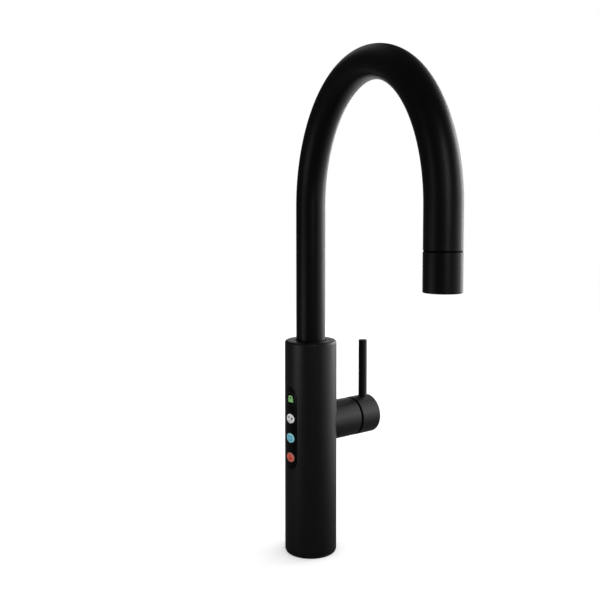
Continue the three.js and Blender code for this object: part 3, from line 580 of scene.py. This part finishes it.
def knob():
    """A cup that opens to the hub, with a hole for the pin above and one for the screw below."""
    wall, cavity = 1.8 * MM, 8.5 * MM
    inner_edge, rim_edge, end_edge = 0.25 * MM, 0.4 * MM, 1.2 * MM
    hole_start, hole_end, pin_gap, screw_radius = 5 * MM, 30 * MM, 0.12 * MM, 2.3 * MM
    cup = lathe("knob", [
        (0, KNOB_START + cavity, 0),
        (KNOB_RADIUS - wall, KNOB_START + cavity, 0),
        (KNOB_RADIUS - wall, KNOB_START, inner_edge),
        (KNOB_RADIUS, KNOB_START, rim_edge),
        (KNOB_RADIUS, KNOB_END, end_edge),
        (0, KNOB_END, 0),
    ], around=160, place=ON_HUB)
    at_pin = Matrix.Translation((PIN_X, 0, HUB_HEIGHT))
    at_screw = Matrix.Translation((middle("knob_screw").x, 0, HUB_HEIGHT))
    pin_hole = rod(PIN_RADIUS + pin_gap, hole_start, hole_end, at_pin, around=64)
    screw_hole = rod(screw_radius, -hole_end, -hole_start, at_screw, around=40)
    return cut(cup, pin_hole, screw_hole)


def pin():
    """The round pin that the knob is turned by."""
    fillet = 0.45 * MM
    return lathe("pin", [
        (0, PIN_FOOT, 0),
        (PIN_RADIUS, PIN_FOOT, 0),
        (PIN_RADIUS, PIN_TOP, fillet),
        (0, PIN_TOP, 0),
    ], around=64, place=Matrix.Translation((PIN_X, 0, 0)))


def knob_plug():
    """The plug over the knob's screw."""
    radius, fillet = 2 * MM, 0.5 * MM
    foot, top = span("knob_screw_plug", Z)
    return lathe("plug", [
        (0, foot, 0),
        (radius, foot, fillet),
        (radius, top, 0),
        (0, top, 0),
    ], around=40, place=Matrix.Translation((middle("knob_screw_plug").x, 0, 0)))


add("hub", hub(), "tap_body", MATT_BLACK, "matt_black", "hub_sleeve")
add("knob", knob(), "mixer_lever", MATT_BLACK, "matt_black", "lever_knob")
add("pin_lever", pin(), "mixer_lever", MATT_BLACK, "matt_black", "lever_pin")
add("knob_plug", knob_plug(), "mixer_lever", RUBBER, "rubber", "knob_screw_plug")

# ---------------------------------------------------------------- Spout and outlet


def gooseneck():
    """The bent tube: rings square to the path, up the outside and back down the bore."""
    around, bend_steps, rim = 96, 120, 0.25 * MM
    angles = all_round(around)
    side = Vector((0, 0, 1)).cross(SPOUT_HEADING)

    def ring(radius, turn, drop):
        """turn is the angle along the bend, and drop the distance below either of its ends."""
        out = Vector((0, 0, math.sin(turn))) - SPOUT_HEADING * math.cos(turn)
        centre = SPOUT_HEADING * BEND_RADIUS + out * BEND_RADIUS
        centre.z = centre.z + BEND_HEIGHT - drop
        return np.array([centre + radius * (math.cos(a) * out + math.sin(a) * side) for a in angles])

    rise, fall = BEND_HEIGHT - TUBE_FOOT, BEND_HEIGHT - (NOZZLE_TOP + NOZZLE_JOINT)
    bend = [math.pi * i / bend_steps for i in range(bend_steps + 1)]
    inner = TUBE_RADIUS - TUBE_WALL
    rings = [ring(TUBE_RADIUS, 0, rise)]
    rings += [ring(TUBE_RADIUS, turn, 0) for turn in bend]
    rings += [ring(TUBE_RADIUS, math.pi, fall - rim), ring(TUBE_RADIUS - rim, math.pi, fall)]
    rings += [ring(inner, math.pi, fall)]
    rings += [ring(inner, turn, 0) for turn in reversed(bend)]
    rings += [ring(inner, 0, rise)]
    return skin("gooseneck", rings)


def outlet_sleeve():
    """The sleeve over the outlet, with a lip turned in at its lower end."""
    bore, lip_bore, lip = 12 * MM, 11.1 * MM, 1.4 * MM
    lip_edge, end_edge, top_edge = 0.25 * MM, 0.6 * MM, 0.3 * MM
    return lathe("sleeve", [
        (lip_bore, NOZZLE_END, lip_edge),
        (NOZZLE_RADIUS, NOZZLE_END, end_edge),
        (NOZZLE_RADIUS, NOZZLE_TOP, top_edge),
        (bore, NOZZLE_TOP, 0),
        (bore, NOZZLE_END + lip, 0),
        (lip_bore, NOZZLE_END + lip, 0),
    ], around=160, place=AT_OUTLET)


def joint_ring():
    """A ring seen in the joint between the tube and the sleeve. It is near black and barely reflecting:
    painted shade that stands in for the shadow deep in the joint.
    """
    inner, outer, gap, fillet = 12.8 * MM, 13.6 * MM, 0.08 * MM, 0.1 * MM
    mesh = tube("joint", inner, outer, NOZZLE_TOP + gap, NOZZLE_TOP + NOZZLE_JOINT - gap, fillet)
    mesh.transform(AT_OUTLET)
    return mesh


# The spout's pieces take the shaded copy of the body's coat, which is painted shade.
add("gooseneck", gooseneck(), "spout", SPOUT_SHADED_BLACK, "matt_black", "spout_tube")
add("outlet_sleeve", outlet_sleeve(), "spout", SPOUT_SHADED_BLACK, "matt_black", "nozzle_sleeve")
# The ring in the outlet joint carries painted shade.
add("outlet_joint_ring", joint_ring(), "spout", JOINT_PAINTED_SHADE, None)

# ---------------------------------------------------------------- Key strip

PANEL_THICKNESS, PANEL_EDGE = 2.4 * MM, 0.3 * MM
KEY_FINISHES = {
    "lock_key": (GLOSS_BLACK, "key_black"),
    "sparkling_key": (LIT_WHITE, "key_white"),
    "chilled_key": (LIT_PALE_BLUE, "key_blue"),
    "boiling_key": (LIT_PALE_RED, "key_red"),
}
KEY_LEVELS = {key: middle(key).z for key in KEY_FINISHES}
KEY_FLANGE = 1 * MM
KEY_WIDTH, KEY_HEIGHT = (extent("chilled_key", axis) - 2 * KEY_FLANGE for axis in (Y, Z))
KEY_THICKNESS, KEY_EDGE = 3 * MM, 0.35 * MM
KEY_PROUD = 0.5 * MM
KEY_CROWN = 0.2 * MM
KEY_GAP = 0.25 * MM
MARK_THICKNESS, MARK_EDGE, MARK_PROUD = 0.14 * MM, 0.02 * MM, 0.02 * MM
LOWER, UPPER = 1, 2  # the layers of the marks


def key_panel():
    """The strip with its four openings."""
    opening_width, opening_height = KEY_WIDTH + 2 * KEY_GAP, KEY_HEIGHT + 2 * KEY_GAP
    outlines = [stadium(STRIP_WIDTH, STRIP_LENGTH)]
    for height in KEY_LEVELS.values():
        outlines.append(oval(opening_width, opening_height, (0, height - STRIP_HEIGHT)))
    return bent_plate("panel", outlines, STRIP_HEIGHT, lambda u, v: 0, PANEL_THICKNESS, PANEL_EDGE)


def crown(u, v):
    """How far a key's face stands out from the body's surface: it is a little higher in its middle."""
    return KEY_PROUD - KEY_CROWN * ((2 * u / KEY_WIDTH) ** 2 + (2 * v / KEY_HEIGHT) ** 2)


def add_mark(key, name, outline, material, layer=LOWER):
    """A thin inlay in a key's face. Each layer lies a hair above the one below."""

    def surface(u, v):
        return crown(u, v) + MARK_PROUD * layer

    mark = bent_plate(name, [outline], KEY_LEVELS[key], surface, MARK_THICKNESS, MARK_EDGE)
    add(key.replace("_key", "_") + name, mark, key + "_cap", material, None)


def in_mm(points):
    """Turns points in millimetres into metres."""
    return [(u * MM, v * MM) for u, v in points]


def stroke(points, width):
    """The outline of a line of that width, with round ends, through the points."""
    half = width / 2
    line = [Vector(p) for p in points]
    left, right = [], []
    for i, point in enumerate(line):
        ahead = (line[min(i + 1, len(line) - 1)] - line[max(i - 1, 0)]).normalized()
        across = Vector((-ahead.y, ahead.x)) * half
        left.append(point + across)
        right.append(point - across)
    tip, tail = (line[-1] - line[-2]).normalized(), (line[0] - line[1]).normalized()
    turns = [math.pi * i / LINE_END_STEPS for i in range(1, LINE_END_STEPS)]

    def end(centre, start, towards):
        return [centre + start * math.cos(t) + towards * half * math.sin(t) for t in turns]

    there, back = end(line[-1], left[-1] - line[-1], tip), end(line[0], right[0] - line[0], tail)
    return [tuple(p) for p in left + there + right[::-1] + back]


def add_padlock():
    """A padlock: its body, and a bow with a full arch and short legs."""
    middle_u, half_width, foot, top = -1.1 * MM, 3.3 * MM, -2.6 * MM, 0.9 * MM
    left, right = middle_u - half_width, middle_u + half_width
    block = [(left, foot), (right, foot), (right, top), (left, top)]
    outer, inner, leg_foot, leg_top = 2.9 * MM, 1 * MM, 1 * MM, 1.5 * MM
    rise, inner_rise, fullness = 2.4 * MM, 0.8 * MM, 0.75
    arch = [math.pi * i / ROUND_END_STEPS for i in range(ROUND_END_STEPS + 1)]
    bow = (
        [(middle_u + outer * math.cos(t), leg_top + rise * math.sin(t) ** fullness) for t in arch]
        + [(middle_u - outer, leg_foot), (middle_u - inner, leg_foot)]
        + [(middle_u - inner * math.cos(t), leg_top + inner_rise * math.sin(t)) for t in arch]
        + [(middle_u + inner, leg_foot), (middle_u + outer, leg_foot)]
    )
    add_mark("lock_key", "padlock_body", block, LIT_GREEN)
    add_mark("lock_key", "padlock_bow", bow, LIT_GREEN)


def add_bubbles():
    """Three bubbles, each given by its place and its radius in millimetres."""
    for i, (u, v, radius) in enumerate([(-2.9, 0.5, 1.3), (1.3, 1.4, 0.95), (0.5, -2.5, 0.7)]):
        bubble = oval(2 * radius * MM, 2 * radius * MM, (u * MM, v * MM), steps=24)
        add_mark("sparkling_key", f"bubble_{i}", bubble, KEY_MARK)


def add_heart(key, material, width_share, height_share):
    """The stronger colour in the middle of a lit key."""
    add_mark(key, "heart", oval(KEY_WIDTH * width_share, KEY_HEIGHT * height_share), material)


def add_glass():
    """A glass, drawn as four lines. Lines that meet lie in different layers."""
    line = 0.7 * MM
    corners = in_mm([(-2.9, 1.8), (-2.3, -2.1), (1.3, -2.1), (1.9, 1.8), (-2.9, 1.8)])
    for i in range(len(corners) - 1):
        side = stroke(corners[i:i + 2], line)
        add_mark("chilled_key", f"glass_{i}", side, BLUE_MARK, UPPER + i % 2)


def add_steaming_cup():
    """A cup, and three wisps of steam, each one wave long."""
    cup = in_mm([(-2.9, 0.2), (-2.4, -2.1), (0.9, -2.1), (1.4, 0.2)])
    add_mark("boiling_key", "cup", cup, RED_MARK, UPPER)
    line, sway, foot, rise, wisp_points = 0.55 * MM, 0.25, 0.9, 1.9, 9
    shares = np.linspace(0, 1, wisp_points)
    for i, u in enumerate((-2, -0.8, 0.4)):
        wisp = in_mm([(u + sway * math.sin(TAU * t), foot + rise * t) for t in shares])
        add_mark("boiling_key", f"steam_{i}", stroke(wisp, line), RED_MARK, UPPER)


def lock_ring():
    """The thin ring on the strip round the lock key."""
    outer, line, proud, thickness, edge = 13.2 * MM, 0.25 * MM, 0.03 * MM, 0.1 * MM, 0.02 * MM
    inner = outer - 2 * line
    outlines = [oval(outer, outer), oval(inner, inner)]
    return bent_plate("ring", outlines, KEY_LEVELS["lock_key"], lambda u, v: proud, thickness, edge)


add("key_panel", key_panel(), "tap_body", GLOSS_BLACK, "gloss_black", "touch_panel")
for key, (finish, slot) in KEY_FINISHES.items():
    cap = bent_plate(key, [oval(KEY_WIDTH, KEY_HEIGHT)], KEY_LEVELS[key], crown, KEY_THICKNESS, KEY_EDGE)
    add(key.replace("_key", "_cap"), cap, key + "_cap", finish, slot, key)
add_padlock()
add_bubbles()
add_heart("chilled_key", LIT_BLUE, 0.76, 0.74)
add_glass()
add_heart("boiling_key", LIT_RED, 0.8, 0.78)
add_steaming_cup()
add("lock_ring", lock_ring(), "tap_body", RING_MARK, None)

# ---------------------------------------------------------------- Finishes of the carried pieces

SLOT_FINISH = {
    "matt_black": MATT_BLACK,
    "brass": BRASS,
    "steel": STEEL,
    "rubber": RUBBER,
    "white_plastic": WHITE_PLASTIC,
    "grey_plastic": GREY_PLASTIC,
    "black_plastic": BLACK_PLASTIC,
    "clear_tube": CLEAR_TUBE,
    "ceramic": CERAMIC,
    "gloss_black": GLOSS_BLACK,
    "circuit_board": BOARD,
}
for subpart in frame["record"]["subparts"]:
    node = frame["nodes"][subpart["node"]]
    if subpart["material_slot"] in SLOT_FINISH:
        node.data.materials.clear()
        node.data.materials.append(SLOT_FINISH[subpart["material_slot"]])

# ---------------------------------------------------------------- Studio

CAMERA_AZIMUTH, CAMERA_PITCH = math.radians(-128.22), math.radians(3.57)
CAMERA_DISTANCE, CAMERA_HEIGHT = 0.7695, 0.3314
LENS_MM, SENSOR_MM = 48.22, 36
LENS_SHIFT_X, LENS_SHIFT_Y = -0.0179, -0.0667
NEAREST_SEEN, FURTHEST_SEEN = 0.01, 20
TOWARDS_CAMERA = Vector((math.cos(CAMERA_AZIMUTH), math.sin(CAMERA_AZIMUTH), 0))
SCREEN_RIGHT = Vector((-TOWARDS_CAMERA.y, TOWARDS_CAMERA.x, 0))


def camera():
    """Stands the camera where the photo was taken from."""
    lens = bpy.data.cameras.new("camera")
    lens.sensor_width = SENSOR_MM
    lens.lens = LENS_MM
    lens.shift_x = LENS_SHIFT_X
    lens.shift_y = LENS_SHIFT_Y
    lens.clip_start, lens.clip_end = NEAREST_SEEN, FURTHEST_SEEN
    stand = bpy.data.objects.new("camera", lens)
    bpy.context.scene.collection.objects.link(stand)
    forward = -TOWARDS_CAMERA * math.cos(CAMERA_PITCH) - Vector((0, 0, math.sin(CAMERA_PITCH)))
    stand.location = TOWARDS_CAMERA * CAMERA_DISTANCE + Vector((0, 0, CAMERA_HEIGHT))
    stand.rotation_euler = forward.to_track_quat("-Z", "Y").to_euler()
    bpy.context.scene.camera = stand


def heading(turn):
    """The level direction from the object, that many degrees to the right of the camera."""
    turn = math.radians(turn)
    return TOWARDS_CAMERA * math.cos(turn) + SCREEN_RIGHT * math.sin(turn)


def softbox(name, turn, distance, height, width, length, power, aim):
    """A soft lamp, placed by how far round to the right of the camera it stands."""
    lamp = bpy.data.lights.new(name, "AREA")
    lamp.shape = "RECTANGLE"
    lamp.size, lamp.size_y = width, length
    lamp.energy = power
    stand = bpy.data.objects.new(name, lamp)
    bpy.context.scene.collection.objects.link(stand)
    stand.location = heading(turn) * distance + Vector((0, 0, height))
    stand.rotation_euler = (Vector(aim) - stand.location).to_track_quat("-Z", "Y").to_euler()
    stand.visible_camera = False


MIDDLE_OF_TAP, UPPER_BODY, OUTLET_BEND = (0, 0, 0.25), (0, 0, 0.14), (0.03, -0.2, 0.4)
# Each lamp's name, degrees to the right of the camera, distance, height, width, length, watts and aim
SOFTBOXES = [
    ("right_box", 117, 1.5, 0.55, 0.8, 1.1, 12.5, MIDDLE_OF_TAP),
    ("right_front_box", 80, 1.5, 0.56, 0.4, 0.6, 2.1, MIDDLE_OF_TAP),
    ("outlet_strip", 20, 0.66, 0.5, 0.08, 0.46, 0.5, OUTLET_BEND),
    ("front_box", 0, 2, 0.9, 0.6, 0.6, 0.4, MIDDLE_OF_TAP),
    ("left_box", -60, 1.5, 0.6, 0.4, 0.7, 0.8, MIDDLE_OF_TAP),
    ("left_low_box", -60, 0.65, 0.12, 0.35, 0.22, 0.3, UPPER_BODY),
    ("back_left_box", -165, 1.5, 1.4, 0.7, 0.7, 0.8, MIDDLE_OF_TAP),
    ("back_right_box", 150, 1.5, 0.5, 0.4, 1, 4, MIDDLE_OF_TAP),
    ("back_box", 180, 1.6, 0.6, 0.6, 0.8, 0.85, MIDDLE_OF_TAP),
]

SWEEP_HEADING = heading(125)
SWEEP_EDGE, SWEEP_FULL = 0.6, 0.95  # of a direction, the share that lies along the sweep's heading
FLOOR_EDGE, FLOOR_FULL = 0.05, 0.8  # metres on the floor along the sweep's heading
UNDER_FLOOR = -0.15  # a direction that points down by more than this share is below the floor
DIM_ROOM = 0.05
ROOM_LIGHT = 1
FLOOR_SIZE, FLOOR_DROP = 8, 0.2 * MM
FLOOR_GREY, FLOOR_GLOW = 0.08, 0.95  # the floor's colour to the object, and its glow in reflections
SEEN_GREY, SEEN_GLOW = 0.8, 0.2  # the floor's colour and glow to the camera
WHITE = (1, 1, 1, 1)


def in_sweep(nodes, links, direction, edge, full):
    """The share of the white sweep behind the object and to its right, for a direction or a place."""
    along = nodes.new("ShaderNodeVectorMath")
    along.operation = "DOT_PRODUCT"
    along.inputs[1].default_value = SWEEP_HEADING
    links.new(direction, along.inputs[0])
    share = nodes.new("ShaderNodeMapRange")
    share.interpolation_type = "SMOOTHSTEP"
    share.inputs["From Min"].default_value = edge
    share.inputs["From Max"].default_value = full
    links.new(along.outputs["Value"], share.inputs["Value"])
    return share.outputs["Result"]


def larger(nodes, links, one, other):
    """The larger of two sockets."""
    pick = nodes.new("ShaderNodeMath")
    pick.operation = "MAXIMUM"
    links.new(one, pick.inputs[0])
    links.new(other, pick.inputs[1])
    return pick.outputs[0]


def seen_ray(nodes, links, path):
    """A socket that is 1 for camera and transmission rays."""
    return larger(nodes, links, path.outputs["Is Camera Ray"], path.outputs["Is Transmission Ray"])


def by_ray(nodes, links, seen, mirrored, other):
    """A strength that differs for camera and transmission rays, for glossy rays, and for all others.

    mirrored is a socket."""
    path = nodes.new("ShaderNodeLightPath")
    inner = nodes.new("ShaderNodeMapRange")
    inner.inputs["To Min"].default_value = other
    links.new(mirrored, inner.inputs["To Max"])
    links.new(path.outputs["Is Glossy Ray"], inner.inputs["Value"])
    outer = nodes.new("ShaderNodeMapRange")
    outer.inputs["To Max"].default_value = seen
    links.new(inner.outputs["Result"], outer.inputs["To Min"])
    links.new(seen_ray(nodes, links, path), outer.inputs["Value"])
    return outer.outputs["Result"]


def studio_world():
    """A room that is white to the camera, and in reflections dim but for the sweep and what lies below."""
    world = bpy.data.worlds.new("studio")
    bpy.context.scene.world = world
    world.use_nodes = True
    nodes, links = world.node_tree.nodes, world.node_tree.links
    direction = nodes.new("ShaderNodeTexCoord").outputs["Generated"]
    share = in_sweep(nodes, links, direction, SWEEP_EDGE, SWEEP_FULL)
    height = nodes.new("ShaderNodeSeparateXYZ")
    below = nodes.new("ShaderNodeMath")
    below.operation = "LESS_THAN"
    below.inputs[1].default_value = UNDER_FLOOR
    links.new(direction, height.inputs[0])
    links.new(height.outputs["Z"], below.inputs[0])
    white = larger(nodes, links, below.outputs[0], share)
    mirrored = between(nodes, links, white, DIM_ROOM, 1)
    background = nodes["Background"]
    background.inputs["Color"].default_value = WHITE
    links.new(by_ray(nodes, links, 1, mirrored, ROOM_LIGHT), background.inputs["Strength"])
    world.cycles.sampling_method = "NONE"


def floor():
    """A floor that is almost white to the camera and takes the object's shadow.

    To all other rays it is dark, so that it lights the object no more than a plain room would. Reflections
    also see the glow of the sweep on it."""
    bpy.ops.mesh.primitive_plane_add(size=FLOOR_SIZE)
    plane = bpy.context.object
    plane.name = "floor"
    plane.location.z = -FLOOR_DROP
    material, nodes, links, principled = shader("floor_white")
    shown = seen_ray(nodes, links, nodes.new("ShaderNodeLightPath"))
    links.new(between(nodes, links, shown, FLOOR_GREY, SEEN_GREY), principled.inputs["Base Color"])
    principled.inputs["Roughness"].default_value = 1
    principled.inputs["Specular IOR Level"].default_value = 0
    principled.inputs["Emission Color"].default_value = WHITE
    place = nodes.new("ShaderNodeTexCoord").outputs["Object"]
    share = in_sweep(nodes, links, place, FLOOR_EDGE, FLOOR_FULL)
    mirrored = between(nodes, links, share, 0, FLOOR_GLOW)
    links.new(by_ray(nodes, links, SEEN_GLOW, mirrored, 0), principled.inputs["Emission Strength"])
    plane.data.materials.append(material)


camera()
studio_world()
floor()
for box in SOFTBOXES:
    softbox(*box)
bpy.context.scene.view_settings.view_transform = "Standard"
